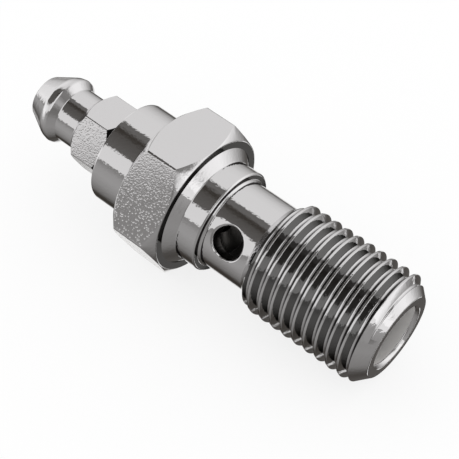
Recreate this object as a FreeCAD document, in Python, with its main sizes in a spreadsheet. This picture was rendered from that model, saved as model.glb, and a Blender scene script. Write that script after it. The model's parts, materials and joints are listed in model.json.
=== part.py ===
"""Banjo bolt with a bleed screw in its head, lying at rest on a flat surface.

The bolt is one turned and milled piece: a round collar, a hexagonal head, a flat seat for the
sealing washer, a conical flare, a pilot, a relief with a cross-drilled port, and a helical
thread with a chamfered, bored end. The bleed screw is the second piece. It screws into the
head, closes a conical seat inside it, and ends in a barbed nipple for a hose.

Both pieces share one frame. The origin is the centre of the washer seat, +Z is up, and the bolt
axis runs towards +X, dipping by the small angle at which the head's lower flat and the end of
the thread both touch the surface. Lengths are in millimetres, angles in degrees.
"""
import FreeCAD
import Part
import math
import os

import Sketcher

SIZES = (
    # Head, collar and washer seat
    ("head_af", 12.0, "across the flats of the large hexagon"),
    ("head_height", 4.55, "from the washer seat to the back of the head"),
    ("seat_margin", 0.05, "flats to the rim of the washer seat"),
    ("seat_width", 0.45, "width of the flat washer seat"),
    ("seat_chamfer", 40.0, "corner chamfer on the seat side, from the seat plane"),
    ("back_margin", 0.2, "flats to the rim of the flat back"),
    ("back_chamfer", 45.0, "corner chamfer on the back, from the back plane"),
    ("head_edge", 0.2, "rounding of the large hexagon's six long edges"),
    ("collar_d", 8.96, "round collar behind the head"),
    ("collar_length", 3.75, "length of the collar"),
    ("collar_edge", 0.12, "chamfer on the collar's outer edge"),
    # Shank
    ("flare_length", 0.7, "axial length of the flare from the seat to the pilot"),
    ("pilot_d", 8.98, "pilot between the flare and the relief"),
    ("pilot_end", 2.36, "washer seat to the end of the pilot"),
    ("pilot_edge", 0.24, "chamfer on the pilot's end edge"),
    ("relief_d", 7.62, "relief that the port is drilled in"),
    ("relief_root", 0.2, "chamfered root between pilot and relief"),
    ("relief_end", 6.75, "washer seat to the start of the thread"),
    ("shank_length", 18.6, "washer seat to the end of the bolt"),
    ("end_d", 7.2, "flat end face inside the 45 degree end chamfer"),
    # External thread, 24 turns to the inch
    ("thread_d", 9.5, "outside diameter of the thread"),
    ("thread_pitch", 25.4 / 24, "distance between turns"),
    ("thread_crest", 0.16, "width of the flat crest"),
    ("thread_depth", 0.62, "depth of the groove"),
    ("thread_flank", 30.0, "slope of each flank, from a plane across the axis"),
    ("thread_lead", 0.43, "first groove's distance ahead of the thread"),
    ("thread_overrun", 0.7, "how far the groove runs on past the end face"),
    ("cutter_margin", 0.1, "how far the groove's outline stands out past the thread"),
    # Drillings of the bolt
    ("bore_d", 5.2, "fluid bore from the threaded end"),
    ("bore_bottom", 3.3, "washer seat to the full depth of the fluid bore"),
    ("bore_edge", 0.24, "chamfer on the mouth of the fluid bore"),
    ("drill_point", 59.0, "half angle of the drill point"),
    ("port_d", 2.6, "cross-drilled port through the relief"),
    ("port_x", 4.62, "washer seat to the axis of the port"),
    ("port_angle", 60.0, "turn of the port from straight up, about the bolt axis"),
    ("port_edge", 0.17, "chamfer on both mouths of the port"),
    ("passage_d", 2.0, "passage from the fluid bore to the bleed seat"),
    # Bleed screw and the bore it runs in
    ("bleed_thread_d", 5.0, "outside diameter of the bleed screw's plain shank"),
    ("bleed_clearance", 0.03, "radial clearance of the shank in the head's bore"),
    ("bleed_gap", 0.3, "collar to the bleed screw's hexagon when it is closed"),
    ("bleed_mouth", 0.3, "countersink of the bore in the collar"),
    ("bleed_undercut_d", 4.3, "undercut next to the small hexagon"),
    ("bleed_undercut_length", 0.7, "length of that undercut"),
    ("bleed_shank_end", 4.4, "washer seat back to the end of the plain shank"),
    ("bleed_stem_d", 3.8, "stem between the shank and the cone"),
    ("cone_start", 2.2, "washer seat back to the start of the 45 degree cone"),
    ("cone_tip_d", 1.4, "flat tip of the cone"),
    ("cone_clearance", 0.14, "radial clearance between cone and seat"),
    ("bleed_bore_d", 1.8, "axial bore of the bleed screw"),
    ("bleed_port_d", 1.2, "cross-drilling of the bleed screw"),
    ("bleed_port_x", 3.4, "washer seat back to that cross-drilling"),
    ("bleed_port_angle", 90.0, "turn of that cross-drilling from straight up"),
    ("small_af", 6.05, "across the flats of the small hexagon"),
    ("small_height", 3.7, "height of the small hexagon"),
    ("small_edge", 0.15, "rounding of the small hexagon's six long edges"),
    ("small_back_margin", 0.425, "flats to the chamfer's rim on the nipple side"),
    ("small_front_margin", 0.225, "flats to the chamfer's rim on the collar side"),
    ("neck_d", 4.8, "neck between the small hexagon and the barb"),
    ("neck_length", 2.1, "length of the neck"),
    ("neck_root", 0.3, "fillet between neck and barb"),
    ("barb_d", 6.24, "barb at the crossing of its two cones"),
    ("barb_back", 0.75, "axial length of the barb's back cone"),
    ("barb_front", 2.4, "axial length of the barb's front cone"),
    ("barb_round", 0.5, "rounding of the barb's ridge"),
    ("nipple_d", 3.74, "flat end of the nipple"),
    ("nipple_edge", 0.12, "chamfers on the nipple's end"),
)

# Places along the axis, worked out from the sizes
BACK = "-Sizes.head_height"
COLLAR_END = "-Sizes.head_height - Sizes.collar_length"
SMALL_FRONT = COLLAR_END + " - Sizes.bleed_gap"
SMALL_BACK = SMALL_FRONT + " - Sizes.small_height"
NECK_END = SMALL_BACK + " - Sizes.neck_length"
BARB_RIDGE = NECK_END + " - Sizes.barb_back"
NIPPLE_END = BARB_RIDGE + " - Sizes.barb_front"
HEAD_CORNER = "Sizes.head_af / sqrt(3)"
SEAT_R = "(Sizes.head_af / 2 - Sizes.seat_margin)"
BACK_R = "(Sizes.head_af / 2 - Sizes.back_margin)"
SMALL_CORNER = "Sizes.small_af / sqrt(3)"
SMALL_BACK_R = "(Sizes.small_af / 2 - Sizes.small_back_margin)"
SMALL_FRONT_R = "(Sizes.small_af / 2 - Sizes.small_front_margin)"
BLEED_BORE_R = "Sizes.bleed_thread_d / 2 + Sizes.bleed_clearance"
DRILL_SLOPE = "tan(Sizes.drill_point)"

# The bolt rests on the head's lower flat and on the thread's last full turn
REST_ANGLE = (
    "atan((Sizes.head_af - Sizes.thread_d) / 2"
    " / (Sizes.shank_length - (Sizes.thread_d - Sizes.end_d) / 2))"
)

EDGE_MATCH = 1e-3    # how near an edge lies to where it is looked for
MOUTH_POINTS = 9     # points looked at along an edge of the port


def add_sizes(doc):
    """The sheet of driving dimensions; the third column says what each one is."""
    sheet = doc.addObject("Spreadsheet::Sheet", "Sizes")
    for row, (alias, value, meaning) in enumerate(SIZES, start=1):
        sheet.set("A%d" % row, alias)
        sheet.set("B%d" % row, "%.6g" % value)
        sheet.set("C%d" % row, meaning)
        sheet.setAlias("B%d" % row, alias)
    doc.recompute()


def number(obj, expression):
    """What an expression over the sheet is worth now."""
    value = obj.evalExpression(expression)
    return float(getattr(value, "Value", value))


def add_body(doc, name):
    body = doc.addObject("PartDesign::Body", name)
    body.Label = name
    return body


def origin_object(body, role):
    return next(f for f in body.Origin.OriginFeatures if f.Role == role)


def add_sketch(body, role, name):
    sketch = body.newObject("Sketcher::SketchObject", name)
    sketch.AttachmentSupport = (origin_object(body, role), [""])
    sketch.MapMode = "FlatFace"
    return sketch


def pin_point(sketch, geometry, which, place):
    """Ties one end of a line, or a centre, to its place by two driven dimensions."""
    for kind, expression in zip(("DistanceX", "DistanceY"), place):
        value = number(sketch, expression)
        index = sketch.addConstraint(Sketcher.Constraint(kind, -1, 1, geometry, which, value))
        sketch.setExpression("Constraints[%d]" % index, expression)


def rounding(before, corner, after, radius):
    """Where an arc tangent to both sides of a corner starts and ends, and its centre."""
    back = (before - corner).normalize()
    ahead = (after - corner).normalize()
    half = back.getAngle(ahead) / 2
    reach = radius / math.tan(half)
    centre = corner + (back + ahead).normalize() * (radius / math.sin(half))
    return corner + back * reach, corner + ahead * reach, centre


def round_corner(sketch, arriving, leaving, start, end, centre, place):
    """Joins two lines by a tangent arc; the lines still meet at the corner's place."""
    radius = (start - centre).Length
    middle = centre + (start + end - centre * 2).normalize() * radius
    arc = sketch.addGeometry(Part.Arc(start, middle, end), False)
    turns_left = (start - centre).cross(end - centre).z > 0
    first, last = (1, 2) if turns_left else (2, 1)
    sketch.addConstraint(Sketcher.Constraint("Tangent", arriving, 2, arc, first))
    sketch.addConstraint(Sketcher.Constraint("Tangent", leaving, 1, arc, last))
    row = sketch.addConstraint(Sketcher.Constraint("Radius", arc, radius))
    sketch.setExpression("Constraints[%d]" % row, place[2])
    corner = sketch.addGeometry(Part.Point(FreeCAD.Vector(start)), True)
    sketch.addConstraint(Sketcher.Constraint("PointOnObject", corner, 1, arriving))
    sketch.addConstraint(Sketcher.Constraint("PointOnObject", corner, 1, leaving))
    pin_point(sketch, corner, 1, place)


def add_outline(sketch, places):
    """A closed outline of straight lines through places, each a pair of expressions.

    A place with a third expression is a corner that is rounded to that radius.
    """
    corners = [FreeCAD.Vector(number(sketch, p[0]), number(sketch, p[1]), 0) for p in places]
    arcs = {}
    for index, place in enumerate(places):
        if len(place) == 3:
            after = corners[(index + 1) % len(corners)]
            arcs[index] = rounding(corners[index - 1], corners[index], after, number(sketch, place[2]))
    lines = []
    for index, corner in enumerate(corners):
        following = (index + 1) % len(corners)
        start = arcs[index][1] if index in arcs else corner
        end = arcs[following][0] if following in arcs else corners[following]
        lines.append(sketch.addGeometry(Part.LineSegment(start, end), False))
    for index, place in enumerate(places):
        if index in arcs:
            round_corner(sketch, lines[index - 1], lines[index], *arcs[index], place)
        else:
            meeting = Sketcher.Constraint("Coincident", lines[index - 1], 2, lines[index], 1)
            sketch.addConstraint(meeting)
            pin_point(sketch, lines[index], 1, place)


def add_circle(sketch, place, radius):
    centre = FreeCAD.Vector(number(sketch, place[0]), number(sketch, place[1]), 0)
    circle = Part.Circle(centre, FreeCAD.Vector(0, 0, 1), number(sketch, radius))
    index = sketch.addGeometry(circle, False)
    pin_point(sketch, index, 3, place)
    row = sketch.addConstraint(Sketcher.Constraint("Radius", index, number(sketch, radius)))
    sketch.setExpression("Constraints[%d]" % row, radius)


def turn_profile(body, kind, name, places):
    """Revolves an outline of (along the axis, radius) pairs about the bolt axis."""
    sketch = add_sketch(body, "XZ_Plane", name + "_outline")
    add_outline(sketch, places)
    feature = body.newObject("PartDesign::" + kind, name)
    feature.Profile = sketch
    feature.ReferenceAxis = (sketch, ["H_Axis"])
    feature.Angle = 360
    return feature


def mill_flats(body, name, across, corner, start, length):
    """Cuts a turned blank to a hexagon with one flat up and one down."""
    sketch = add_sketch(body, "YZ_Plane", name + "_outline")
    sketch.setExpression(".AttachmentOffset.Base.z", start)
    half = "%s / 2" % across
    add_outline(sketch, (
        (corner, "0"),
        ("(%s) / 2" % corner, half),
        ("-(%s) / 2" % corner, half),
        ("-(%s)" % corner, "0"),
        ("-(%s) / 2" % corner, "-" + half),
        ("(%s) / 2" % corner, "-" + half),
    ))
    add_circle(sketch, ("0", "0"), across)
    pocket = body.newObject("PartDesign::Pocket", name)
    pocket.Profile = sketch
    pocket.setExpression("Length", length)
    return pocket


def drill_across(body, name, place, diameter, angle):
    """A round hole through both walls, square to the axis and turned about it."""
    sketch = add_sketch(body, "XY_Plane", name + "_circle")
    turn = FreeCAD.Rotation(FreeCAD.Vector(1, 0, 0), 1)
    sketch.AttachmentOffset = FreeCAD.Placement(FreeCAD.Vector(), turn)
    sketch.setExpression(".AttachmentOffset.Rotation.Angle", angle)
    add_circle(sketch, (place, "0"), "%s / 2" % diameter)
    pocket = body.newObject("PartDesign::Pocket", name)
    pocket.Profile = sketch
    pocket.Type = "ThroughAll"
    pocket.Midplane = True
    return pocket


def from_axis(point):
    """Distance of a point from the bolt axis."""
    return FreeCAD.Vector(0, point.y, point.z).Length


def circle_at(shape, place, radius):
    """Name of the edge that is a circle about the axis at a place along it."""
    for index, edge in enumerate(shape.Edges, start=1):
        if not isinstance(edge.Curve, Part.Circle):
            continue
        centre = edge.Curve.Center
        misses = (from_axis(centre), abs(centre.x - place), abs(edge.Curve.Radius - radius))
        if max(misses) < EDGE_MATCH:
            return "Edge%d" % index
    raise ValueError("no circle at %g with radius %g" % (place, radius))


def soften(body, name, base, size, place, radius):
    """A chamfer on the circle at a place along the axis."""
    base.Document.recompute()
    edge = circle_at(base.Shape, number(base, place), number(base, radius))
    feature = body.newObject("PartDesign::Chamfer", name)
    feature.Base = (base, [edge])
    feature.setExpression("Size", size)
    return feature


def round_corners(body, name, base, corner, size):
    """Fillets on a hexagon's six long edges, which lie at the corner radius."""
    base.Document.recompute()
    corner_r = number(base, corner)
    edges = []
    for index, edge in enumerate(base.Shape.Edges, start=1):
        along = isinstance(edge.Curve, Part.Line) and abs(edge.tangentAt(edge.FirstParameter).x) > 0.5
        if along and abs(from_axis(edge.CenterOfMass) - corner_r) < EDGE_MATCH:
            edges.append("Edge%d" % index)
    if len(edges) != 6:
        raise ValueError("the hexagon has %d long edges" % len(edges))
    feature = body.newObject("PartDesign::Fillet", name)
    feature.Base = (base, edges)
    feature.setExpression("Radius", size)
    return feature


def soften_port(body, port):
    """A chamfer on the two outer mouths of the cross-drilled port."""
    port.Document.recompute()
    port_r = number(port, "Sizes.port_d / 2")
    relief_r = number(port, "Sizes.relief_d / 2")
    centre = FreeCAD.Vector(number(port, "Sizes.port_x"), 0, 0)
    turn = FreeCAD.Rotation(FreeCAD.Vector(1, 0, 0), number(port, "Sizes.port_angle"))
    drilled = turn.multVec(FreeCAD.Vector(0, 0, 1))
    mouths = []
    for index, edge in enumerate(port.Shape.Edges, start=1):
        points = edge.discretize(MOUTH_POINTS)
        on_relief = all(abs(from_axis(p) - relief_r) < EDGE_MATCH for p in points)
        on_port = all(abs((p - centre).cross(drilled).Length - port_r) < EDGE_MATCH for p in points)
        if on_relief and on_port:
            mouths.append("Edge%d" % index)
    feature = body.newObject("PartDesign::Chamfer", "port_mouths")
    feature.Base = (port, mouths)
    feature.setExpression("Size", "Sizes.port_edge")


def cut_thread(body):
    """One helical groove, from ahead of the thread to past the end face."""
    sketch = add_sketch(body, "XZ_Plane", "thread_groove")
    start = "Sizes.relief_end - Sizes.thread_lead"
    outer = "Sizes.thread_d / 2 + Sizes.cutter_margin"
    root = "Sizes.thread_d / 2 - Sizes.thread_depth"
    half_groove = "(Sizes.thread_pitch - Sizes.thread_crest) / 2"
    half_top = "(%s + Sizes.cutter_margin * tan(Sizes.thread_flank))" % half_groove
    half_root = "(%s - Sizes.thread_depth * tan(Sizes.thread_flank))" % half_groove
    add_outline(sketch, (
        ("%s - %s" % (start, half_top), outer),
        ("%s - %s" % (start, half_root), root),
        ("%s + %s" % (start, half_root), root),
        ("%s + %s" % (start, half_top), outer),
    ))
    helix = body.newObject("PartDesign::SubtractiveHelix", "thread")
    helix.Profile = sketch
    helix.ReferenceAxis = (sketch, ["H_Axis"])
    helix.Mode = "pitch-height-angle"
    helix.setExpression("Pitch", "Sizes.thread_pitch")
    helix.setExpression("Height", "Sizes.shank_length - Sizes.relief_end"
                                  " + Sizes.thread_lead + Sizes.thread_overrun")
    helix.Angle = 0
    helix.LeftHanded = False
    helix.Reversed = False


def lay_down(body):
    """Tips the body about the washer seat's centre, thread end down, to lie at rest."""
    body.Placement.Rotation = FreeCAD.Rotation(FreeCAD.Vector(0, 1, 0), 1)
    body.setExpression(".Placement.Rotation.Angle", REST_ANGLE)


def make_banjo_bolt(doc):
    body = add_body(doc, "banjo_bolt")
    collar_r = "Sizes.collar_d / 2"
    pilot_r = "Sizes.pilot_d / 2"
    relief_r = "Sizes.relief_d / 2"
    thread_r = "Sizes.thread_d / 2"
    blank = turn_profile(body, "Revolution", "turned_blank", (
        (COLLAR_END, "0"),
        (COLLAR_END, collar_r),
        (BACK, collar_r),
        (BACK, BACK_R),
        ("%s + (%s - %s) * tan(Sizes.back_chamfer)" % (BACK, HEAD_CORNER, BACK_R), HEAD_CORNER),
        ("-(%s - %s) * tan(Sizes.seat_chamfer)" % (HEAD_CORNER, SEAT_R), HEAD_CORNER),
        ("0", SEAT_R),
        ("0", SEAT_R + " - Sizes.seat_width"),
        ("Sizes.flare_length", pilot_r),
        ("Sizes.pilot_end", pilot_r),
        ("Sizes.pilot_end", relief_r),
        ("Sizes.relief_end", relief_r),
        ("Sizes.relief_end + (Sizes.thread_d - Sizes.relief_d) / 2", thread_r),
        ("Sizes.shank_length - (Sizes.thread_d - Sizes.end_d) / 2", thread_r),
        ("Sizes.shank_length", "Sizes.end_d / 2"),
        ("Sizes.shank_length", "0"),
    ))
    softened = soften(body, "pilot_rim", blank, "Sizes.pilot_edge", "Sizes.pilot_end", pilot_r)
    softened = soften(body, "relief_corner", softened, "Sizes.relief_root",
                      "Sizes.pilot_end", relief_r)
    soften(body, "collar_rim", softened, "Sizes.collar_edge", COLLAR_END, collar_r)
    flats = mill_flats(body, "head_flats", "Sizes.head_af", HEAD_CORNER, "0", "Sizes.head_height")
    round_corners(body, "head_edges", flats, HEAD_CORNER, "Sizes.head_edge")
    cut_thread(body)
    bore_r = "Sizes.bore_d / 2"
    passage_r = "Sizes.passage_d / 2"
    stem_gap = BLEED_BORE_R + " - Sizes.bleed_stem_d / 2"
    seat_start = "-(Sizes.cone_start + %s - Sizes.cone_clearance)" % stem_gap
    turn_profile(body, "Groove", "drillings", (
        (COLLAR_END, "0"),
        (COLLAR_END, BLEED_BORE_R + " + Sizes.bleed_mouth"),
        (COLLAR_END + " + Sizes.bleed_mouth", BLEED_BORE_R),
        (seat_start, BLEED_BORE_R),
        (seat_start + " + %s - %s" % (BLEED_BORE_R, passage_r), passage_r),
        ("Sizes.bore_bottom - (Sizes.bore_d - Sizes.passage_d) / 2 / " + DRILL_SLOPE, passage_r),
        ("Sizes.bore_bottom", bore_r),
        ("Sizes.shank_length - Sizes.bore_edge", bore_r),
        ("Sizes.shank_length", bore_r + " + Sizes.bore_edge"),
        ("Sizes.shank_length", "0"),
    ))
    port = drill_across(body, "port", "Sizes.port_x", "Sizes.port_d", "Sizes.port_angle")
    soften_port(body, port)
    lay_down(body)
    return body


def make_bleed_screw(doc):
    body = add_body(doc, "bleed_screw")
    shank_r = "Sizes.bleed_thread_d / 2"
    undercut_r = "Sizes.bleed_undercut_d / 2"
    stem_r = "Sizes.bleed_stem_d / 2"
    neck_r = "Sizes.neck_d / 2"
    undercut_end = SMALL_FRONT + " + Sizes.bleed_undercut_length"
    blank = turn_profile(body, "Revolution", "turned_blank", (
        (NIPPLE_END, "0"),
        (NIPPLE_END, "Sizes.nipple_d / 2"),
        (BARB_RIDGE, "Sizes.barb_d / 2", "Sizes.barb_round"),
        (NECK_END, neck_r, "Sizes.neck_root"),
        (SMALL_BACK, neck_r),
        (SMALL_BACK, SMALL_BACK_R),
        ("%s + %s - %s" % (SMALL_BACK, SMALL_CORNER, SMALL_BACK_R), SMALL_CORNER),
        ("%s - %s + %s" % (SMALL_FRONT, SMALL_CORNER, SMALL_FRONT_R), SMALL_CORNER),
        (SMALL_FRONT, SMALL_FRONT_R),
        (SMALL_FRONT, undercut_r),
        (undercut_end, undercut_r),
        (undercut_end + " + (Sizes.bleed_thread_d - Sizes.bleed_undercut_d) / 2", shank_r),
        ("-Sizes.bleed_shank_end - (Sizes.bleed_thread_d - Sizes.bleed_stem_d) / 2", shank_r),
        ("-Sizes.bleed_shank_end", stem_r),
        ("-Sizes.cone_start", stem_r),
        ("-Sizes.cone_start + (Sizes.bleed_stem_d - Sizes.cone_tip_d) / 2", "Sizes.cone_tip_d / 2"),
        ("-Sizes.cone_start + (Sizes.bleed_stem_d - Sizes.cone_tip_d) / 2", "0"),
    ))
    soften(body, "nipple_rim", blank, "Sizes.nipple_edge", NIPPLE_END, "Sizes.nipple_d / 2")
    flats = mill_flats(body, "small_flats", "Sizes.small_af", SMALL_CORNER,
                       SMALL_FRONT, "Sizes.small_height")
    round_corners(body, "small_edges", flats, SMALL_CORNER, "Sizes.small_edge")
    bore_r = "Sizes.bleed_bore_d / 2"
    bore_end = "-Sizes.bleed_port_x + Sizes.bleed_port_d / 2"
    turn_profile(body, "Groove", "drilling", (
        (NIPPLE_END, "0"),
        (NIPPLE_END, bore_r + " + Sizes.nipple_edge"),
        (NIPPLE_END + " + Sizes.nipple_edge", bore_r),
        (bore_end, bore_r),
        (bore_end + " + %s / %s" % (bore_r, DRILL_SLOPE), "0"),
    ))
    drill_across(body, "bleed_port", "-Sizes.bleed_port_x", "Sizes.bleed_port_d",
                 "Sizes.bleed_port_angle")
    lay_down(body)
    return body


def check_document(doc, bodies):
    """Stops before anything is written if a feature failed or a piece isn't one sound solid."""
    for obj in doc.Objects:
        if "Invalid" in obj.State or "Error" in obj.State:
            raise RuntimeError("%s failed: %s" % (obj.Label, obj.State))
    for body in bodies:
        shape = body.Shape
        if shape.isNull() or not shape.isValid() or len(shape.Solids) != 1:
            raise RuntimeError("%s is not one valid solid" % body.Label)


def main():
    doc = FreeCAD.newDocument("banjo_bolt")
    add_sizes(doc)
    bodies = [make_banjo_bolt(doc), make_bleed_screw(doc)]
    doc.recompute()
    check_document(doc, bodies)
    os.makedirs("parts", exist_ok=True)
    for body in bodies:
        body.Shape.exportStep("parts/%s.step" % body.Label)
        box = body.Shape.optimalBoundingBox(False)
        print("%s: %.2f mm3, x %.2f to %.2f, y %.2f to %.2f, z %.2f to %.2f" % (
            body.Label, body.Shape.Volume, box.XMin, box.XMax, box.YMin, box.YMax, box.ZMin, box.ZMax))


main()
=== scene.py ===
"""Looks of a plated banjo bolt and its bleed screw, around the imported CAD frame.

Both pieces are turned about one axis, so each starts as an outline that is spun, then gets its
hexagon planed, its thread cut and its holes drilled, as on the machines that make the real ones.
They are modelled in millimetres along +X and then laid down in the frame, in metres.
"""

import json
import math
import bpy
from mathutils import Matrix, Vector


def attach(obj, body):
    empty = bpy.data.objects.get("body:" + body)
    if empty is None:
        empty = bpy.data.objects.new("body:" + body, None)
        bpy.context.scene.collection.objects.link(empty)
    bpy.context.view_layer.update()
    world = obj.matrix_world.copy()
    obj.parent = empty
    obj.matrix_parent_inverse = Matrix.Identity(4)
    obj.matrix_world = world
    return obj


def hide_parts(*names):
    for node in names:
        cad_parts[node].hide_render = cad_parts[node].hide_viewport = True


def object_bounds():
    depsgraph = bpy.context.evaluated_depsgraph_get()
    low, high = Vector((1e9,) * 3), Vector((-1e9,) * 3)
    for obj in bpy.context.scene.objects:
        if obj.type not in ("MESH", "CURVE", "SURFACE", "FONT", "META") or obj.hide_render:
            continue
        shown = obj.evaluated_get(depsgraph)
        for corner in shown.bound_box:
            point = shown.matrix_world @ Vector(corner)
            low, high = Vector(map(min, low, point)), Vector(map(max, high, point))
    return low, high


bl_info = {
    "name": "Banjo bolt looks",
    "version": (1, 0, 0),
    "blender": (4, 5, 0),
    "location": "3D View > Sidebar > Banjo Bolt",
    "description": "Builds a plated banjo bolt with its bleed screw, its finishes and a studio",
    "category": "Object",
}

import bmesh
import bpy
from mathutils import Matrix, Vector

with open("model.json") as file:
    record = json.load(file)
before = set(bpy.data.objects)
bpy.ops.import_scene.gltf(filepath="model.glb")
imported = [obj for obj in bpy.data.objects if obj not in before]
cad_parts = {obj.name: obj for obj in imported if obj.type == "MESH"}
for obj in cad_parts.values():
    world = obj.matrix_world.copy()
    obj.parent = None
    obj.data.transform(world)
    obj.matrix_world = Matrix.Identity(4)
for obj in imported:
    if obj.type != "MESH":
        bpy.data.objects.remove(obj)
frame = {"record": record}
CAD_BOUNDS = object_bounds()
MOUNTS = {mount["name"]: mount for mount in frame["record"]["mounts"]}

MM = 0.001
AXIS = Vector(MOUNTS["banjo_eye"]["axis"]).normalized()
LAY_DOWN = Vector((1, 0, 0)).rotation_difference(AXIS).to_matrix().to_4x4()
IN_FRAME = LAY_DOWN @ Matrix.Scale(MM, 4)

TURN_STEPS = 240         # facets around a turned surface
THREAD_STEPS = 180       # facets in one turn of the thread's groove
PORT_STEPS = 96          # facets around a cross-drilled hole
ROUND_STEPS = 3          # facets of a softened corner
EDGE_CUTS = 6            # facets that round one long edge of a hexagon
SHARP_ANGLE = 33.0       # degrees between faces that still read as an edge
TOUCH = 1e-4             # millimetres within which two points are the same
NEAR = 1e-3              # millimetres from a wall within which an edge belongs to it

SOFT_CORNER = 0.04       # millimetres of softening on a turned corner
SOFT_STEP = 0.02         # and on the corners of a small step
GROOVE_ROOT = 0.08       # millimetres of softening at the root of the thread
GROOVE_MOUTH = 0.025     # and at its crest
CREST_RISE = 0.2         # rise of the crest's edge, as a share of its softening
UNDER_CREST = 0.6        # depth at which a flank's own finish starts, as a share of it too
BACK_FLANK = 0.5         # a face of the tool that points this far along cuts the back flank
COLLAR_DROP = 0.25       # how far the collar's taper drops, as a share of its length
PORT_LEAN = 78.0         # degrees that the port's rounded mouth turns through
BROKEN_EDGE = 0.08       # millimetres taken off the rims of a hexagon's flats
LONG = 0.45              # millimetres of straight outline that gets a ring near each end
HOLD = 0.04              # millimetres from its end to that ring
CLEARANCE = 0.15         # millimetres that a cutting solid reaches past the stock

MIRROR = 0.04            # roughness of the plating over fine turning
SHEEN = 0.06             # and over drawn, threaded or faced steel
BARE = 0.3               # roughness of a drilled wall without plating
SATIN = 0.45             # and of a reamed bore
SATIN_METAL = 0.35       # how metallic that bore looks
PIT_FLOOR = 0.12         # a pit's flat floor, as a share of the distance between pits
PIT_RIM = 0.42           # and its rim

TURNED, FLAT, SHADED_FLANK, BORE, HOLE_SHADE, PAINTED_SHADE = range(6)


def size(name, millimetres, description):
    """A length that the user may change, shown in the scene's unit."""
    return bpy.props.FloatProperty(
        name=name, description=description, default=millimetres * MM,
        min=0.0, precision=5, unit='LENGTH')


def angle(name, degrees, description):
    """An angle that the user may change."""
    return bpy.props.FloatProperty(
        name=name, description=description, default=math.radians(degrees), unit='ROTATION')


def linear(hex_colour):
    """An sRGB hex colour as linear red, green, blue and alpha."""
    channels = [int(hex_colour[k:k + 2], 16) / 255 for k in (1, 3, 5)]
    return tuple(
        c / 12.92 if c <= 0.04045 else ((c + 0.055) / 1.055) ** 2.4 for c in channels) + (1,)


def colour(name, hex_colour, description):
    """A colour that the user may change."""
    return bpy.props.FloatVectorProperty(
        name=name, description=description, default=linear(hex_colour),
        size=4, min=0.0, max=1.0, subtype='COLOR')


class BanjoBoltSizes(bpy.types.PropertyGroup):
    """The bolt, measured along its axis from the washer seat."""
    head_across: size(
        "Across flats", 2 * MOUNTS["head_hexagon"]["dims"]["r_mm"],
        "Large hexagon across its flats")
    head_height: size(
        "Head height", MOUNTS["head_hexagon"]["dims"]["length_mm"],
        "Washer seat to the back of the head")
    head_edge: size("Head edge", 0.31, "Rounding of the large hexagon's long edges")
    seat_margin: size("Seat margin", 0.05, "Flats to the rim of the washer seat")
    seat_width: size("Seat width", 0.65, "Width of the flat washer seat")
    seat_chamfer: angle("Seat chamfer", 40, "Corner chamfer on the seat side, from the seat plane")
    back_margin: size("Back margin", 0.1, "Flats to the rim of the head's flat back")
    collar_diameter: size("Collar", 8.96, "Diameter of the collar behind the head")
    collar_length: size("Collar length", 3.75, "Length of the collar")
    collar_edge: size("Collar edge", 0.13, "Length of the slight taper at the collar's end")
    flare_length: size("Flare length", 0.7, "From the seat to the start of the pilot")
    pilot_diameter: size("Pilot", 8.98, "Diameter of the pilot")
    pilot_end: size("Pilot end", 2.52, "Washer seat to the end of the pilot")
    pilot_edge: size("Pilot edge", 0.12, "Chamfer on the pilot's end")
    relief_diameter: size("Relief", 7.62, "Diameter of the relief that the port is drilled in")
    relief_root: size("Relief root", 0.15, "Chamfer in the corner between pilot and relief")
    relief_end: size("Relief end", 6.75, "Washer seat to the start of the thread")
    shank_length: size("Shank", 18.6, "Washer seat to the threaded end")
    end_diameter: size("End face", 7.2, "Diameter of the flat end inside its chamfer")
    thread_diameter: size(
        "Thread", 2 * MOUNTS["thread_pin"]["dims"]["r_mm"], "Outside diameter of the thread")
    thread_pitch: size("Pitch", 25.4 / 24, "Distance between turns, 24 to the inch")
    thread_crest: size("Crest", 0.16, "Width of the crest before its edges are softened")
    thread_depth: size("Depth", 0.62, "Depth of the groove")
    thread_flank: angle("Flank", 30, "Slope of each flank, from a plane across the axis")
    thread_lead: size("Lead", 0.43, "First groove's distance ahead of the thread")
    thread_overrun: size("Overrun", 0.7, "How far the groove runs on past the end face")
    bore_diameter: size(
        "Fluid bore", 2 * MOUNTS["fluid_bore"]["dims"]["r_mm"], "Diameter of the fluid bore")
    bore_bottom: size("Bore bottom", 3.3, "Washer seat to the full depth of the fluid bore")
    bore_edge: size("Bore edge", 0.24, "Chamfer on the mouth of the fluid bore")
    drill_point: angle("Drill point", 59, "Half angle of the drill point")
    passage_diameter: size("Passage", 2.0, "Passage from the fluid bore to the bleed seat")
    bleed_bore: size("Bleed bore", 5.06, "Bore that the bleed screw's shank runs in")
    bleed_mouth: size("Bleed mouth", 0.3, "Countersink of that bore in the collar")
    bleed_seat: size("Bleed seat", 2.69, "Washer seat back to the start of the conical bleed seat")
    port_diameter: size("Port", 2.6, "Diameter of the cross-drilled port")
    port_place: size("Port place", 4.62, "Washer seat to the axis of the port")
    port_turn: angle("Port turn", 60, "Turn of the port from straight up, about the axis")
    port_edge: size("Port edge", 0.24, "Rounding of both mouths of the port")


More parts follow.
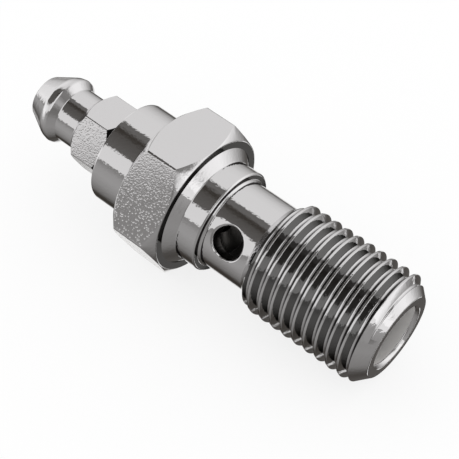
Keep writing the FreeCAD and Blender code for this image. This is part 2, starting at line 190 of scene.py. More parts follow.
class BleedScrewSizes(bpy.types.PropertyGroup):
    """The bleed screw, measured back from the bolt's washer seat."""
    hexagon_front: size("Hexagon front", 8.6, "Washer seat back to the small hexagon")
    hexagon_across: size(
        "Across flats", 2 * MOUNTS["bleed_hexagon"]["dims"]["r_mm"],
        "Small hexagon across its flats")
    hexagon_height: size(
        "Hexagon height", MOUNTS["bleed_hexagon"]["dims"]["length_mm"],
        "Height of the small hexagon")
    hexagon_edge: size("Hexagon edge", 0.15, "Rounding of the small hexagon's long edges")
    back_margin: size("Back margin", 0.34, "Flats to the chamfer's rim on the nipple side")
    front_margin: size("Front margin", 0.225, "Flats to the chamfer's rim on the collar side")
    neck_diameter: size("Neck", 4.8, "Neck between the hexagon and the barb")
    neck_length: size("Neck length", 2.1, "Length of the neck")
    neck_root: size("Neck root", 0.06, "Softening between the neck and the barb")
    barb_diameter: size("Barb", 6.24, "Barb at the crossing of its two cones")
    barb_back: size("Barb back", 0.75, "Length of the barb's back cone")
    barb_front: size("Barb front", 2.4, "Length of the barb's front cone")
    barb_crown: size("Barb crown", 0.45, "How far the crowned ridge reaches along the front cone")
    barb_crown_back: size("Crown behind", 0.13, "How far it reaches along the back cone")
    barb_round: size("Barb rounding", 0.15, "Softening of both edges of the crown")
    nipple_diameter: size("Nipple end", 3.74, "Diameter of the nipple's flat end")
    nipple_edge: size("Nipple edge", 0.12, "Chamfer on the mouth of the nipple's bore")
    shank_diameter: size("Shank", 5.0, "Plain shank inside the head")
    undercut_diameter: size("Undercut", 4.3, "Undercut next to the hexagon")
    undercut_length: size("Undercut length", 0.7, "Length of that undercut")
    shank_end: size("Shank end", 4.4, "Washer seat back to the end of the shank")
    stem_diameter: size("Stem", 3.8, "Stem between the shank and the cone")
    cone_start: size("Cone start", 2.2, "Washer seat back to the start of the cone")
    cone_tip: size("Cone tip", 1.4, "Flat tip of the cone")
    bore_diameter: size("Bore", 1.8, "Axial bore")
    drill_point: angle("Drill point", 59, "Half angle of the drill point")
    port_diameter: size("Cross-drilling", 1.2, "Diameter of the cross-drilling")
    port_place: size("Cross-drilling place", 3.4, "Washer seat back to the cross-drilling")
    port_turn: angle("Cross-drilling turn", 90, "Turn of the cross-drilling from straight up")


class PlatingSettings(bpy.types.PropertyGroup):
    """Bright nickel-chromium plating on turned steel, with the painted light and shade of its bore,
    holes, thread and seat.
    """
    bright: colour("Plating", "#DBDADB", "Reflected colour of the bright plating")
    # Painted shade on the thread's back flank, which is also darker at a grazing angle
    groove: colour("Groove", "#7D7D7C", "Reflected colour where the thread's plating is thin")
    # Painted light: the pale tint of the bore at its mouth
    bore: colour("Bore", "#E6E4E2", "Colour of the satin bore at its mouth")
    # Painted shade on the washer seat, the pilot's end step and the small hexagon's front chamfer,
    # with its tint at a grazing angle below
    seat: colour("Washer seat", "#3F3E3D", "Reflected colour of the faced washer seat")
    painted_shade_edge: colour("Seat edge", "#C4C4C4", "Its reflected colour at a grazing angle")
    edge: colour("Edge", "#FFFFFF", "Reflected colour of the bright metals at a grazing angle")
    # Painted shade inside the holes, darker than bare steel; the bore's tint also darkens to it
    # further in
    drilled: colour("Drilled wall", "#5C5A58", "Colour of drilled walls that the plating misses")
    # Painted shade: the distance from the mouth over which the bore's tint darkens
    bore_shade_reach: size("Shade depth", 6.0, "How far the plating reaches into the fluid bore")
    peel_size: size("Peel size", 0.25, "Width of the ripples that the plating leaves")
    peel_depth: size("Peel depth", 0.009, "Depth of those ripples")
    grain_size: size("Grain size", 0.13, "Width of the grain on the drawn flats")
    grain_depth: size("Grain depth", 0.004, "Depth of that grain")
    pit_size: size("Pit size", 0.21, "Distance between the pits on the drawn flats")
    pit_depth: size("Pit depth", 0.008, "Depth of those pits")
    facing_size: size("Facing size", 0.13, "Width of the marks on the faced washer seat")
    facing_depth: size("Facing depth", 0.003, "Depth of those marks")


class StudioSettings(bpy.types.PropertyGroup):
    """Camera and surroundings."""
    view_angle: angle("View angle", 19.72, "The camera's angle of view")
    floor_colour: colour("Floor", "#FFFFFF", "Pale floor under the part")
    floor_size: bpy.props.FloatProperty(
        name="Floor size", description="Width of the floor", default=4.0, unit='LENGTH')


def in_mm(settings):
    """A property group's lengths in millimetres and its angles in radians, by name."""
    group = settings.bl_rna.properties
    return {p.identifier: getattr(settings, p.identifier) * (1 if p.unit == 'ROTATION' else 1 / MM)
            for p in group if p.type == 'FLOAT' and not p.is_array}


def wire_outline(corners):
    """A closed outline in the XZ plane, of corners (along, radius) or (along, radius, softened)."""
    bm = bmesh.new()
    verts = [bm.verts.new((corner[0], 0, corner[1])) for corner in corners]
    for vert, following in zip(verts, verts[1:] + verts[:1]):
        bm.edges.new((vert, following))
    for vert, corner in zip(verts, corners):
        if len(corner) == 3:
            bmesh.ops.bevel(
                bm, geom=[vert], offset=corner[2], offset_type='OFFSET', segments=ROUND_STEPS,
                profile=0.5, affect='VERTICES', clamp_overlap=True, material=-1)
    # A ring close to each end of a long straight keeps the softened corners out of its shading
    for edge in bm.edges[:]:
        for end in edge.verts[:]:
            length = edge.calc_length()
            if length > LONG:
                bmesh.utils.edge_split(edge, end, HOLD / length)
    return bm


def turn_outline(corners):
    """Turns an outline about the axis into a closed body."""
    bm = wire_outline(corners)
    bmesh.ops.spin(
        bm, geom=bm.verts[:] + bm.edges[:], cent=(0, 0, 0), axis=(1, 0, 0), dvec=(0, 0, 0),
        angle=2 * math.pi, steps=TURN_STEPS, use_merge=True)
    bmesh.ops.remove_doubles(bm, verts=bm.verts, dist=TOUCH)
    bmesh.ops.recalc_face_normals(bm, faces=bm.faces)
    return bm


def plane_hexagon(bm, across, edge_radius, low, high):
    """Planes six flats, one facing up, and rounds the long edges by narrow extra cuts."""
    edge_centre = (across / 2 - edge_radius) / math.cos(math.radians(30))
    for corner in range(6):
        for cut in range(EDGE_CUTS):
            turn = math.radians(-30 + 60 * cut / EDGE_CUTS)
            towards = math.radians(120 + 60 * corner) + turn
            normal = Vector((0, math.cos(towards), math.sin(towards)))
            reach = edge_centre * math.cos(turn) + edge_radius
            inside = [v for v in bm.verts if low - TOUCH < v.co.x < high + TOUCH]
            chosen = set(inside)
            edges = [e for e in bm.edges if chosen.issuperset(e.verts)]
            faces = [f for f in bm.faces if chosen.issuperset(f.verts)]
            cut_away = bmesh.ops.bisect_plane(
                bm, geom=inside + edges + faces, dist=TOUCH, plane_co=normal * reach,
                plane_no=normal, clear_outer=True)
            rim = [g for g in cut_away["geom_cut"] if isinstance(g, bmesh.types.BMEdge)]
            flat = bmesh.ops.contextual_create(bm, geom=rim)["faces"]
            for face in flat:
                face.material_index = FLAT
    rims = [e for e in bm.edges if len({f.material_index for f in e.link_faces}) == 2]
    bmesh.ops.bevel(
        bm, geom=rims, offset=BROKEN_EDGE, offset_type='OFFSET', segments=2, profile=0.5,
        affect='EDGES', clamp_overlap=True, material=-1)
    bmesh.ops.recalc_face_normals(bm, faces=bm.faces)


def thread_groove(b):
    """The solid that a threading tool sweeps: one turn of its outline, repeated along the axis."""
    outer = b["thread_diameter"] / 2
    root = outer - b["thread_depth"]
    half_top = (b["thread_pitch"] - b["thread_crest"]) / 2
    half_root = half_top - b["thread_depth"] * math.tan(b["thread_flank"])
    start = b["relief_end"] - b["thread_lead"]
    turns = math.ceil((b["shank_length"] + b["thread_overrun"] - start) / b["thread_pitch"])
    half = (
        (half_root, root, GROOVE_ROOT),
        (half_top, outer, GROOVE_MOUTH),
        (half_top + GROOVE_MOUTH, outer + CREST_RISE * GROOVE_MOUTH),
        (half_top + GROOVE_MOUTH, outer + CLEARANCE),
    )
    outline = [(start + x, *rest) for x, *rest in half]
    outline += [(start - x, *rest) for x, *rest in reversed(half)]
    bm = wire_outline(outline)
    bmesh.ops.spin(
        bm, geom=bm.verts[:] + bm.edges[:], cent=(0, 0, 0), axis=(1, 0, 0),
        dvec=(b["thread_pitch"] / THREAD_STEPS, 0, 0), angle=2 * math.pi, steps=THREAD_STEPS)
    first_turn = bm.verts[:] + bm.edges[:] + bm.faces[:]
    for turn in range(1, turns):
        copy = bmesh.ops.duplicate(bm, geom=first_turn)["geom"]
        bmesh.ops.translate(
            bm, verts=[g for g in copy if isinstance(g, bmesh.types.BMVert)],
            vec=(turn * b["thread_pitch"], 0, 0))
    bmesh.ops.remove_doubles(bm, verts=bm.verts, dist=TOUCH)
    bmesh.ops.holes_fill(bm, edges=[e for e in bm.edges if e.is_boundary], sides=0)
    bmesh.ops.recalc_face_normals(bm, faces=bm.faces)
    # The back flank, which faces the nipple, gets painted shade: a darker finish than the other
    # flank
    for face in bm.faces:
        reach = face.calc_center_median().yz.length
        if reach < outer - UNDER_CREST * GROOVE_MOUTH and face.normal.x > BACK_FLANK:
            face.material_index = SHADED_FLANK
    return bm


def cross_drill(radius, reach, place, turn, edge=0.0, surface=0.0):
    """The solid that a cross drilling removes, round at its mouths where it meets a cylinder."""
    bm = bmesh.new()
    bmesh.ops.create_circle(bm, segments=PORT_STEPS, radius=radius)
    rim = bm.edges[:]
    rings = []
    if edge:
        for step in range(ROUND_STEPS + 1):
            lean = math.radians(PORT_LEAN) * step / ROUND_STEPS
            rings.append((radius + edge * (1 - math.cos(lean)), edge * (math.sin(lean) - 1)))
        rings.append((rings[-1][0] + CLEARANCE, rings[-1][1] + CLEARANCE / math.tan(lean)))
    rings.append((rings[-1][0] if rings else radius, None))
    for ring_radius, height in rings:
        grown = bmesh.ops.extrude_edge_only(bm, edges=rim)["geom"]
        rim = [g for g in grown if isinstance(g, bmesh.types.BMEdge)]
        for vert in (g for g in grown if isinstance(g, bmesh.types.BMVert)):
            flat = Vector((vert.co.x, vert.co.y, 0)).normalized() * ring_radius
            level = reach if height is None else math.sqrt(surface ** 2 - flat.y ** 2) + height
            vert.co = (flat.x, flat.y, level)
    bmesh.ops.contextual_create(bm, geom=rim)
    # The drilled wall takes the painted shade of a hole
    for face in bm.faces:
        if face.calc_center_median().xy.length < radius + TOUCH:
            face.material_index = HOLE_SHADE
    bmesh.ops.mirror(bm, geom=bm.verts[:] + bm.edges[:] + bm.faces[:], axis='Z', merge_dist=TOUCH)
    bmesh.ops.transform(bm, verts=bm.verts, matrix=Matrix.Translation((place, 0, 0))
                        @ Matrix.Rotation(turn, 4, 'X'))
    bmesh.ops.remove_doubles(bm, verts=bm.verts, dist=TOUCH)
    bmesh.ops.recalc_face_normals(bm, faces=bm.faces)
    return bm


def cut(bm, *tools):
    """Takes each tool's solid away; a cut face keeps the finish that its tool's face has."""
    finishes = plating_materials()
    target = mesh_object("stock", bm, finishes)
    cutters = [mesh_object("tool", tool, finishes) for tool in tools]
    for cutter in cutters:
        step = target.modifiers.new("Cut", 'BOOLEAN')
        step.operation = 'DIFFERENCE'
        step.solver = 'EXACT'
        step.object = cutter
    evaluated = target.evaluated_get(bpy.context.evaluated_depsgraph_get())
    left = bpy.data.meshes.new_from_object(evaluated)
    result = bmesh.new()
    result.from_mesh(left)
    for spent in [target] + cutters:
        mesh = spent.data
        bpy.data.objects.remove(spent)
        bpy.data.meshes.remove(mesh)
    bpy.data.meshes.remove(left)
    return result


def mesh_object(name, bm, materials=()):
    """An object with a bmesh as its mesh, in the scene."""
    mesh = bpy.data.meshes.new(name)
    bm.to_mesh(mesh)
    bm.free()
    for material in materials:
        mesh.materials.append(material)
    obj = bpy.data.objects.new(name, mesh)
    bpy.context.scene.collection.objects.link(obj)
    return obj


def paint(bm, finish, along, radii):
    """Gives a finish to the faces whose middles lie between two places and two radii."""
    for face in bm.faces:
        middle = face.calc_center_median()
        if along[0] < middle.x < along[1] and radii[0] < middle.yz.length < radii[1]:
            face.material_index = finish


def finish_piece(bm, name, node, body):
    """Lays a piece in the frame in place of its CAD node, with its edges kept sharp."""
    bmesh.ops.transform(bm, verts=bm.verts, matrix=IN_FRAME)
    piece = mesh_object(name, bm, plating_materials())
    mesh = piece.data
    mesh.polygons.foreach_set("use_smooth", [True] * len(mesh.polygons))
    mesh.set_sharp_from_angle(angle=math.radians(SHARP_ANGLE))
    even = piece.modifiers.new("Even shading", 'WEIGHTED_NORMAL')
    even.mode = 'FACE_AREA_WITH_ANGLE'
    even.keep_sharp = True
    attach(piece, body)
    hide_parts(node)


def add_node(tree, kind, inputs=None, **settings):
    """Adds a node; each input is a constant, or an output socket that is linked to it."""
    made = tree.nodes.new(kind)
    for key, value in settings.items():
        setattr(made, key, value)
    for key, value in (inputs or {}).items():
        if isinstance(value, bpy.types.NodeSocket):
            tree.links.new(value, made.inputs[key])
        else:
            made.inputs[key].default_value = value
    return made


def new_material(name):
    """An empty node material and its tree."""
    material = bpy.data.materials.new(name)
    material.use_nodes = True
    material.node_tree.nodes.clear()
    return material, material.node_tree


def along_bolt(tree):
    """Object coordinates turned so that X runs along the bolt's axis."""
    coordinates = add_node(tree, 'ShaderNodeTexCoord').outputs['Object']
    untilt = LAY_DOWN.inverted().to_euler()
    turned = add_node(tree, 'ShaderNodeMapping', {'Vector': coordinates, 'Rotation': untilt})
    return turned.outputs[0]


def plated_steel(name, tint, roughness, ripple_size, ripple_depth, edge_tint):
    """Plating over cut steel: a mirror with faint ripples, as the bath leaves it."""
    material, tree = new_material(name)
    place = along_bolt(tree)
    ripple = add_node(tree, 'ShaderNodeTexNoise', {
        'Vector': place, 'Scale': 1 / ripple_size, 'Detail': 1.5, 'Roughness': 0.5})
    bump = add_node(tree, 'ShaderNodeBump', {
        'Height': ripple.outputs[0], 'Distance': ripple_depth, 'Strength': 1.0})
    surface = add_node(tree, 'ShaderNodeBsdfPrincipled', {
        'Base Color': tint, 'Metallic': 1.0, 'Roughness': roughness,
        'Specular Tint': edge_tint, 'Normal': bump.outputs['Normal']})
    add_node(tree, 'ShaderNodeOutputMaterial', {'Surface': surface.outputs[0]})
    return material


def drawn_flats(name, tint, roughness, grain_size, grain_depth, pit_size, pit_depth):
    """Plated drawn bar: fine grain and scattered round pits, each a bright or dark speck."""
    material, tree = new_material(name)
    place = along_bolt(tree)
    grain = add_node(tree, 'ShaderNodeTexNoise', {
        'Vector': place, 'Scale': 1 / grain_size, 'Detail': 1.5, 'Roughness': 0.5})
    cells = add_node(tree, 'ShaderNodeTexVoronoi', {'Vector': place, 'Scale': 1 / pit_size})
    pits = add_node(tree, 'ShaderNodeMapRange', {
        'Value': cells.outputs['Distance'], 'From Min': PIT_FLOOR, 'From Max': PIT_RIM},
        interpolation_type='SMOOTHSTEP')
    height = add_node(tree, 'ShaderNodeMath', {
        0: grain.outputs[0], 1: grain_depth / pit_depth, 2: pits.outputs[0]},
        operation='MULTIPLY_ADD')
    bump = add_node(tree, 'ShaderNodeBump', {
        'Height': height.outputs[0], 'Distance': pit_depth, 'Strength': 1.0})
    surface = add_node(tree, 'ShaderNodeBsdfPrincipled', {
        'Base Color': tint, 'Metallic': 1.0, 'Roughness': roughness,
        'Normal': bump.outputs['Normal']})
    add_node(tree, 'ShaderNodeOutputMaterial', {'Surface': surface.outputs[0]})
    return material


def bore_in_painted_light_and_shade(name, painted_light_tint, painted_shade_tint, mouth, depth):
    """A satin bore, pale at its mouth as painted light and darkening further in as painted shade.
    """
    material, tree = new_material(name)
    place = along_bolt(tree)
    along = add_node(tree, 'ShaderNodeSeparateXYZ', {'Vector': place}).outputs['X']
    into_shade = add_node(tree, 'ShaderNodeMapRange', {
        'Value': along, 'From Min': mouth, 'From Max': mouth - depth}).outputs[0]
    tint = add_node(tree, 'ShaderNodeMix', {
        'Factor': into_shade, 6: painted_light_tint, 7: painted_shade_tint}, data_type='RGBA').outputs[2]
    surface = add_node(tree, 'ShaderNodeBsdfPrincipled', {
        'Base Color': tint, 'Metallic': SATIN_METAL, 'Roughness': SATIN})
    add_node(tree, 'ShaderNodeOutputMaterial', {'Surface': surface.outputs[0]})
    return material


def plating_materials():
    """The finishes of a plated piece, in the order of TURNED to PAINTED_SHADE."""
    s = bpy.context.scene.bolt_plating
    b = bpy.context.scene.banjo_bolt_sizes
    names = ("bright plated turned steel", "bright plated drawn flats",
             "thread back flank in painted shade", "satin bore in painted light and shade", "drilled wall in painted shade",
             "seat and steps in painted shade")
    if names[0] in bpy.data.materials:
        return [bpy.data.materials[name] for name in names]
    return [
        # Nickel and chromium over fine turning: a clear mirror whose bands have slightly wavy edges
        plated_steel(names[0], s.bright, MIRROR, s.peel_size, s.peel_depth, s.edge),
        # The same plating over drawn hexagon bar: an even grey sheen, speckled where pits glint.
        # The real grain is finer, and is drawn as coarse as it needs to show.
        drawn_flats(
            names[1], s.bright, SHEEN, s.grain_size, s.grain_depth, s.pit_size, s.pit_depth),
        # Painted shade on the thread's back flank: a grey mirror that makes the thread's lines dark
        plated_steel(names[2], s.groove, SHEEN, s.peel_size, s.peel_depth, s.groove),
        # A satin bore: soft and pale at its mouth as painted light, dull further in as painted
        # shade
        bore_in_painted_light_and_shade(names[3], s.bore, s.drilled, b.shank_length, s.bore_shade_reach),
        # Drilled, left bare and rough, and darkened as painted shade so that a hole reads as deep
        plated_steel(names[4], s.drilled, BARE, s.peel_size, s.peel_depth, s.edge),
        # Faced across and darkened as painted shade: a dark ring with a faint gleam at its rim; the
        # same paint darkens the pilot's end step and the small hexagon's front chamfer
        plated_steel(names[5], s.seat, SHEEN, s.facing_size, s.facing_depth, s.painted_shade_edge),
    ]


class BOLT_OT_banjo_bolt(bpy.types.Operator):
    """Builds the bolt: spun, planed to a hexagon, threaded and drilled"""
    bl_idname = "bolt.banjo_bolt"
    bl_label = "Banjo bolt"

    def execute(self, context):
        b = in_mm(context.scene.banjo_bolt_sizes)
        back = -b["head_height"]
        collar_end = back - b["collar_length"]
        collar = b["collar_diameter"] / 2
        corner = b["head_across"] / math.sqrt(3)
        seat = b["head_across"] / 2 - b["seat_margin"]
        back_rim = b["head_across"] / 2 - b["back_margin"]
        flare = seat - b["seat_width"]
        pilot = b["pilot_diameter"] / 2
        relief = b["relief_diameter"] / 2
        thread = b["thread_diameter"] / 2
        end = b["end_diameter"] / 2
        bore = b["bore_diameter"] / 2
        passage = b["passage_diameter"] / 2
        bleed = b["bleed_bore"] / 2
        bm = turn_outline((
            (collar_end, bleed + b["bleed_mouth"], SOFT_CORNER),
            (collar_end, collar - COLLAR_DROP * b["collar_edge"], SOFT_STEP),
            (collar_end + b["collar_edge"], collar),
            (back, collar, SOFT_CORNER),
            (back, back_rim, SOFT_CORNER),
            (back + corner - back_rim, corner),
            (-(corner - seat) * math.tan(b["seat_chamfer"]), corner),
            (0, seat, SOFT_CORNER),
            (0, flare),
            (b["flare_length"], pilot, SOFT_CORNER),
            (b["pilot_end"] - b["pilot_edge"], pilot, SOFT_STEP),
            (b["pilot_end"], pilot - b["pilot_edge"], SOFT_STEP),
            (b["pilot_end"], relief + b["relief_root"], SOFT_STEP),
            (b["pilot_end"] + b["relief_root"], relief, SOFT_STEP),
            (b["relief_end"], relief, SOFT_CORNER),
            (b["relief_end"] + thread - relief, thread),
            (b["shank_length"] - (thread - end), thread),
            (b["shank_length"], end, SOFT_CORNER),
            (b["shank_length"], bore + b["bore_edge"], SOFT_CORNER),
            (b["shank_length"] - b["bore_edge"], bore, SOFT_CORNER),
            (b["bore_bottom"], bore),
            (b["bore_bottom"] - (bore - passage) / math.tan(b["drill_point"]), passage),
            (-b["bleed_seat"] + bleed - passage, passage),
            (-b["bleed_seat"], bleed),
            (collar_end + b["bleed_mouth"], bleed, SOFT_CORNER),
        ))
        plane_hexagon(bm, b["head_across"], b["head_edge"], back, 0)
        port = cross_drill(b["port_diameter"] / 2, thread, b["port_place"], b["port_turn"],
                           b["port_edge"], relief)
        bm = cut(bm, thread_groove(b), port)
        bore_start = b["bore_bottom"] - b["bore_edge"]
        # Painted light at the fluid bore's mouth, fading to painted shade further in
        paint(bm, BORE, (bore_start, b["shank_length"] - 2 * b["bore_edge"]), (0, bore + TOUCH))
        # Painted shade inside the bore that holds the bleed screw, and in the passage beyond it
        paint(bm, HOLE_SHADE, (collar_end + 2 * b["bleed_mouth"], bore_start), (0, bleed + TOUCH))
        # Painted shade on the washer seat
        paint(bm, PAINTED_SHADE, (-TOUCH, TOUCH), (flare, seat))
        burr = [e for e in bm.edges if len({f.material_index for f in e.link_faces}) == 2
                and abs(e.verts[0].co.x - b["port_place"]) < b["port_diameter"]
                and abs(e.verts[0].co.yz.length - bore) < NEAR]
        bmesh.ops.bevel(
            bm, geom=burr, offset=BROKEN_EDGE, offset_type='OFFSET', segments=2, profile=0.5,
            affect='EDGES', clamp_overlap=True, material=TURNED)
        # Painted shade on the step at the pilot's end, in its corner by the relief
        paint(bm, PAINTED_SHADE, (b["pilot_end"] - TOUCH, b["pilot_end"] + TOUCH), (relief, pilot))
        finish_piece(bm, "plated_banjo_bolt", "banjo_bolt", "bolt")
        return {'FINISHED'}


class BOLT_OT_bleed_screw(bpy.types.Operator):
    """Builds the bleed screw: spun, planed to a hexagon and cross-drilled"""
    bl_idname = "bolt.bleed_screw"
    bl_label = "Bleed screw"

    def execute(self, context):
        s = in_mm(context.scene.bleed_screw_sizes)
        front = -s["hexagon_front"]
        back = front - s["hexagon_height"]
        neck_end = back - s["neck_length"]
        ridge = neck_end - s["barb_back"]
        nipple_end = ridge - s["barb_front"]
        corner = s["hexagon_across"] / math.sqrt(3)
        back_rim = s["hexagon_across"] / 2 - s["back_margin"]
        front_rim = s["hexagon_across"] / 2 - s["front_margin"]
        neck = s["neck_diameter"] / 2
        barb = s["barb_diameter"] / 2
        nipple = s["nipple_diameter"] / 2
        front_slope = (barb - nipple) / s["barb_front"]
        back_slope = (barb - neck) / s["barb_back"]
        bore = s["bore_diameter"] / 2
        shank = s["shank_diameter"] / 2
        stem = s["stem_diameter"] / 2
        tip = s["cone_tip"] / 2
        undercut = s["undercut_diameter"] / 2
        undercut_end = front + s["undercut_length"]
        bore_end = -s["port_place"] + s["port_diameter"] / 2
        bm = turn_outline((
            (nipple_end, bore + s["nipple_edge"], SOFT_CORNER),
            (nipple_end, nipple, SOFT_CORNER),
            (ridge - s["barb_crown"], barb - s["barb_crown"] * front_slope, s["barb_round"]),
            (ridge + s["barb_crown_back"], barb - s["barb_crown_back"] * back_slope,
             s["barb_round"]),
            (neck_end, neck, s["neck_root"]),
            (back, neck, SOFT_CORNER),
            (back, back_rim, SOFT_CORNER),
            (back + corner - back_rim, corner),
            (front - corner + front_rim, corner),
            (front, front_rim, SOFT_CORNER),
            (front, undercut),
            (undercut_end, undercut),
            (undercut_end + shank - undercut, shank),
            (-s["shank_end"] - (shank - stem), shank),
            (-s["shank_end"], stem),
            (-s["cone_start"], stem),
            (-s["cone_start"] + stem - tip, tip),
            (-s["cone_start"] + stem - tip, 0),
            (bore_end + bore / math.tan(s["drill_point"]), 0),
            (bore_end, bore),
            (nipple_end + s["nipple_edge"], bore, SOFT_CORNER),
        ))
        plane_hexagon(bm, s["hexagon_across"], s["hexagon_edge"], back, front)
        port = cross_drill(s["port_diameter"] / 2, shank, -s["port_place"], s["port_turn"])
        bm = cut(bm, port)
        # Painted shade inside the bleed screw's axial bore
        paint(bm, HOLE_SHADE, (nipple_end + 2 * s["nipple_edge"], 0), (0, bore + TOUCH))
        # Painted shade in the small hexagon's front chamfer, where it meets the bolt's collar
        paint(bm, PAINTED_SHADE, (front - corner + front_rim, front + TOUCH), (undercut, corner))
        finish_piece(bm, "plated_bleed_screw", "bleed_screw", "bleeder")
        return {'FINISHED'}


# The cards that the plating mirrors, as (from, to, brightness at from, brightness at to). Their
# places are degrees about the bolt's axis, where 0 faces the camera's side, and between two cards
# the light runs straight from one to the next.
CARDS_ACROSS = (
    (-180, -150, 0.10, 0.11),    # gap under the backdrop
    (-138, -122, 0.42, 0.66),    # far end of the softbox overhead
    (-106, -90, 0.82, 0.875),
    (-70, -49.5, 0.88, 0.885),   # its near end
    (-47.5, -37, 0.155, 0.165),  # dark room behind the camera, with a darker doorway
    (-30, -27, 0.06, 0.05),
    (-18, 9, 0.10, 0.14),
    (12, 43.4, 0.885, 0.90),     # softbox in front
    (44.4, 51, 0.27, 0.32),      # table, fading into the shade under the bolt
    (60, 76, 0.40, 0.42),
    (98, 122, 0.345, 0.20),
    (133, 146, 0.07, 0.035),
    (152, 180, 0.10, 0.10),
)
CARDS_TOWARDS_END = (
    (-180, -160, 0.12, 0.08),
    (-150, -137, 0.40, 0.62),
    (-125, -108, 0.95, 1.20),
    (-90, -80, 1.15, 1.10),
    (-72, -58, 0.95, 0.27),
    (-30, -14, 0.24, 0.42),
    (0, 12, 0.50, 0.34),
    (28, 50, 0.20, 0.22),
    (70, 97, 0.32, 0.34),
    (127, 138, 0.26, 0.14),
    (146, 180, 0.06, 0.12),
)
CARDS_END_ON = (
    (-180, -120, 0.95, 1.05),
    (-70, -24, 1.25, 1.25),
    (-16, 14, 1.0, 1.05),
    (18, 60, 0.42, 0.37),
    (150, 180, 0.36, 0.6),
)
CARDS_TOWARDS_NIPPLE = (
    (-180, -160, 0.95, 0.95),
    (-148, -128, 0.30, 0.72),
    (-110, -98, 0.86, 1.02),
    (-75, -62, 1.0, 0.9),
    (-52, 20, 0.10, 0.12),
    (30, 62, 1.0, 1.22),
    (72, 84, 1.02, 0.70),
    (94, 112, 0.44, 0.40),
    (127, 144, 0.24, 0.09),
    (160, 180, 0.95, 0.95),
)
CARDS_NIPPLE_ON = (
    (-180, -120, 0.5, 0.9),
    (-90, 0, 1.0, 1.05),
    (60, 88, 1.1, 0.95),
    (92, 96, 0.22, 0.25),
    (104, 125, 0.47, 0.40),
    (150, 180, 0.10, 0.3),
)
BACKDROP = 0.86          # brightness of the backdrop above the far horizon
WALL = 1.3               # brightness of the wall beyond the threaded end
LAMP = 1.0               # brightness of the lamp beside the camera
WARMTH = 0.006           # how much green, and twice that blue, every mirrored card lacks
SHADOW = 0.2             # how much of the object's shadow the camera sees on the floor

# What hangs in the studio, each over what is before it. A mirrored direction is measured along
# the bolt's axis, from -1 at the nipple to 1 at the threaded end, and near, from -1 behind the
# bolt to 1 on the camera's side. A layer comes in as each of its measures runs from the first
# value to the second. The lamp's box has hard ends.
LAYERS = (
    (CARDS_ACROSS, ()),
    (BACKDROP, (("near", -0.835, -0.87), ("along", -0.12, -0.24))),
    (CARDS_TOWARDS_END, (("along", -0.2, 0.6),)),
    (CARDS_END_ON, (("along", 0.88, 0.95),)),
    (WALL, (("near", -0.835, -0.87), ("along", 0.29, 0.35))),
    (LAMP, (("near", 0.76, 0.82), ("along", -0.0301, -0.0299), ("along", 0.5301, 0.5299))),
    (CARDS_TOWARDS_NIPPLE, (("along", -0.62, -0.76),)),
    (CARDS_NIPPLE_ON, (("along", -0.955, -0.975),)),
)
FACING = 37.4            # degrees from straight up to the camera's side, about the axis
ASKEW = 46.0             # degrees that the front softbox's edges turn for each unit along
ASKEW_ROOT = -0.42       # place along at which they stay as in CARDS_ACROSS
ASKEW_SPAN = (-0.55, -0.25)    # places along between which they turn
ASKEW_TURN = (-25.0, 0.0)      # degrees about the axis over which this comes in

CAMERA_PLACE = (46.40, -58.30, 73.12)      # millimetres in the frame
CAMERA_LOOK = (-0.4226, 0.5604, -0.7123)   # direction that the camera looks in
CAMERA_UP = (-0.4811, 0.5274, 0.7004)      # direction at the top of its picture


def card_colour(level):
    """A card's light, with the room's slight warmth."""
    return (level, level - WARMTH, level - 2 * WARMTH, 1)


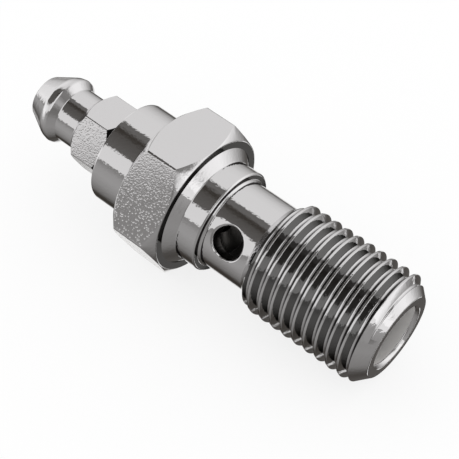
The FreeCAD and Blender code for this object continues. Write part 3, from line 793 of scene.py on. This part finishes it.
def light_studio():
    """A white studio: the camera sees plain white, and metal mirrors cards along the bolt."""
    world = bpy.data.worlds.new("white studio")
    bpy.context.scene.world = world
    world.use_nodes = True
    tree = world.node_tree
    tree.nodes.clear()
    facing = math.radians(FACING)
    up = LAY_DOWN.to_3x3() @ Vector((0, 0, 1))
    side = Vector((0, 1, 0))
    directions = {
        "along": AXIS,
        "near": up * math.cos(facing) - side * math.sin(facing),
        "low": -up * math.sin(facing) - side * math.cos(facing),
    }
    mirrored_way = add_node(tree, 'ShaderNodeTexCoord').outputs['Generated']
    measures = {
        name: add_node(tree, 'ShaderNodeVectorMath', {
            0: mirrored_way, 1: direction}, operation='DOT_PRODUCT').outputs['Value']
        for name, direction in directions.items()}
    turn = add_node(tree, 'ShaderNodeMath', {
        0: measures["low"], 1: measures["near"]}, operation='ARCTAN2').outputs[0]
    askew = add_node(tree, 'ShaderNodeMapRange', {
        'Value': measures["along"], 'From Min': ASKEW_SPAN[0], 'From Max': ASKEW_SPAN[1],
        'To Min': math.radians(ASKEW * (ASKEW_SPAN[0] - ASKEW_ROOT)),
        'To Max': math.radians(ASKEW * (ASKEW_SPAN[1] - ASKEW_ROOT))}).outputs[0]
    in_front = add_node(tree, 'ShaderNodeMapRange', {
        'Value': turn, 'From Min': math.radians(ASKEW_TURN[0]),
        'From Max': math.radians(ASKEW_TURN[1])}).outputs[0]
    askew_turn = add_node(tree, 'ShaderNodeMath', {
        0: askew, 1: in_front, 2: turn}, operation='MULTIPLY_ADD').outputs[0]
    share, askew_share = (
        add_node(tree, 'ShaderNodeMath', {
            0: angle_about, 1: 1 / (2 * math.pi), 2: 0.5}, operation='MULTIPLY_ADD').outputs[0]
        for angle_about in (turn, askew_turn))

    mirrored = None
    for cover, spans in LAYERS:
        if isinstance(cover, tuple):
            ramp = add_node(tree, 'ShaderNodeValToRGB', {
                'Fac': askew_share if cover is CARDS_ACROSS else share})
            elements = ramp.color_ramp.elements
            stops = [stop for begin, end, low, high in cover
                     for stop in ((begin, low), (end, high))]
            while len(elements) < len(stops):
                elements.new(0.5)
            for element, (degrees, level) in zip(elements, stops):
                element.position = degrees / 360 + 0.5
                element.color = card_colour(level)
            shown = ramp.outputs['Color']
        else:
            shown = card_colour(cover)
        weight = 1.0
        for measure, low, high in spans:
            span = add_node(tree, 'ShaderNodeMapRange', {
                'Value': measures[measure], 'From Min': low, 'From Max': high}).outputs[0]
            weight = add_node(tree, 'ShaderNodeMath', {
                0: weight, 1: span}, operation='MULTIPLY').outputs[0]
        mirrored = shown if mirrored is None else add_node(tree, 'ShaderNodeMix', {
            'Factor': weight, 6: mirrored, 7: shown}, data_type='RGBA').outputs[2]

    rays = add_node(tree, 'ShaderNodeLightPath')
    shiny = add_node(tree, 'ShaderNodeMath', {
        0: rays.outputs['Is Glossy Ray'], 1: rays.outputs['Is Transmission Ray']},
        operation='MAXIMUM')
    seen = add_node(tree, 'ShaderNodeMix', {
        'Factor': shiny.outputs[0], 6: (1, 1, 1, 1), 7: mirrored}, data_type='RGBA').outputs[2]
    light = add_node(tree, 'ShaderNodeBackground', {'Color': seen, 'Strength': 1.0})
    add_node(tree, 'ShaderNodeOutputWorld', {'Surface': light.outputs[0]})


def lay_floor(settings):
    """A white floor that keeps a soft shadow and that the bright metal doesn't mirror."""
    bm = bmesh.new()
    bmesh.ops.create_grid(bm, x_segments=1, y_segments=1, size=settings.floor_size / 2)
    bmesh.ops.translate(bm, verts=bm.verts, vec=(0, 0, CAD_BOUNDS[0][2]))
    floor = mesh_object("floor", bm)
    # Matt white paper: it glows to the camera as white as the backdrop, apart from the shadow
    material, tree = new_material("matt white floor")
    rays = add_node(tree, 'ShaderNodeLightPath').outputs['Is Camera Ray']
    paper = add_node(tree, 'ShaderNodeBsdfDiffuse', {'Color': settings.floor_colour})
    glow = add_node(tree, 'ShaderNodeEmission', {'Color': settings.floor_colour, 'Strength': 1.0})
    share = add_node(tree, 'ShaderNodeMath', {0: rays, 1: 1 - SHADOW}, operation='MULTIPLY')
    seen = add_node(tree, 'ShaderNodeMixShader', {
        0: share.outputs[0], 1: paper.outputs[0], 2: glow.outputs[0]})
    add_node(tree, 'ShaderNodeOutputMaterial', {'Surface': seen.outputs[0]})
    floor.data.materials.append(material)
    floor.visible_glossy = False


def place_camera(settings):
    """The camera where the photograph was taken from, above the bolt's threaded side."""
    camera = bpy.data.objects.new("camera", bpy.data.cameras.new("camera"))
    bpy.context.scene.collection.objects.link(camera)
    look = Vector(CAMERA_LOOK).normalized()
    right = look.cross(Vector(CAMERA_UP)).normalized()
    turn = Matrix((right, right.cross(look), -look)).transposed()
    camera.matrix_world = Matrix.Translation(Vector(CAMERA_PLACE) * MM) @ turn.to_4x4()
    camera.data.angle = settings.view_angle
    camera.data.clip_start = MM
    bpy.context.scene.camera = camera


class BOLT_OT_studio(bpy.types.Operator):
    """Sets up the floor, the light and the camera"""
    bl_idname = "bolt.studio"
    bl_label = "Studio"

    def execute(self, context):
        settings = context.scene.bolt_studio
        light_studio()
        lay_floor(settings)
        place_camera(settings)
        context.scene.view_settings.view_transform = 'Standard'
        return {'FINISHED'}


class BOLT_PT_panel(bpy.types.Panel):
    """Lists the steps that build the part"""
    bl_label = "Banjo Bolt"
    bl_space_type = 'VIEW_3D'
    bl_region_type = 'UI'
    bl_category = "Banjo Bolt"

    def draw(self, context):
        for step in STEPS:
            self.layout.operator(step.bl_idname)


GROUPS = {
    "banjo_bolt_sizes": BanjoBoltSizes,
    "bleed_screw_sizes": BleedScrewSizes,
    "bolt_plating": PlatingSettings,
    "bolt_studio": StudioSettings,
}
STEPS = (BOLT_OT_banjo_bolt, BOLT_OT_bleed_screw, BOLT_OT_studio)


def register():
    for cls in (*GROUPS.values(), *STEPS, BOLT_PT_panel):
        bpy.utils.register_class(cls)
    for name, group in GROUPS.items():
        setattr(bpy.types.Scene, name, bpy.props.PointerProperty(type=group))


def unregister():
    for name in GROUPS:
        delattr(bpy.types.Scene, name)
    for cls in (BOLT_PT_panel, *reversed(STEPS), *GROUPS.values()):
        bpy.utils.unregister_class(cls)


def main():
    register()
    bpy.ops.bolt.banjo_bolt()
    bpy.ops.bolt.bleed_screw()
    bpy.ops.bolt.studio()


if __name__ == "__main__":
    main()
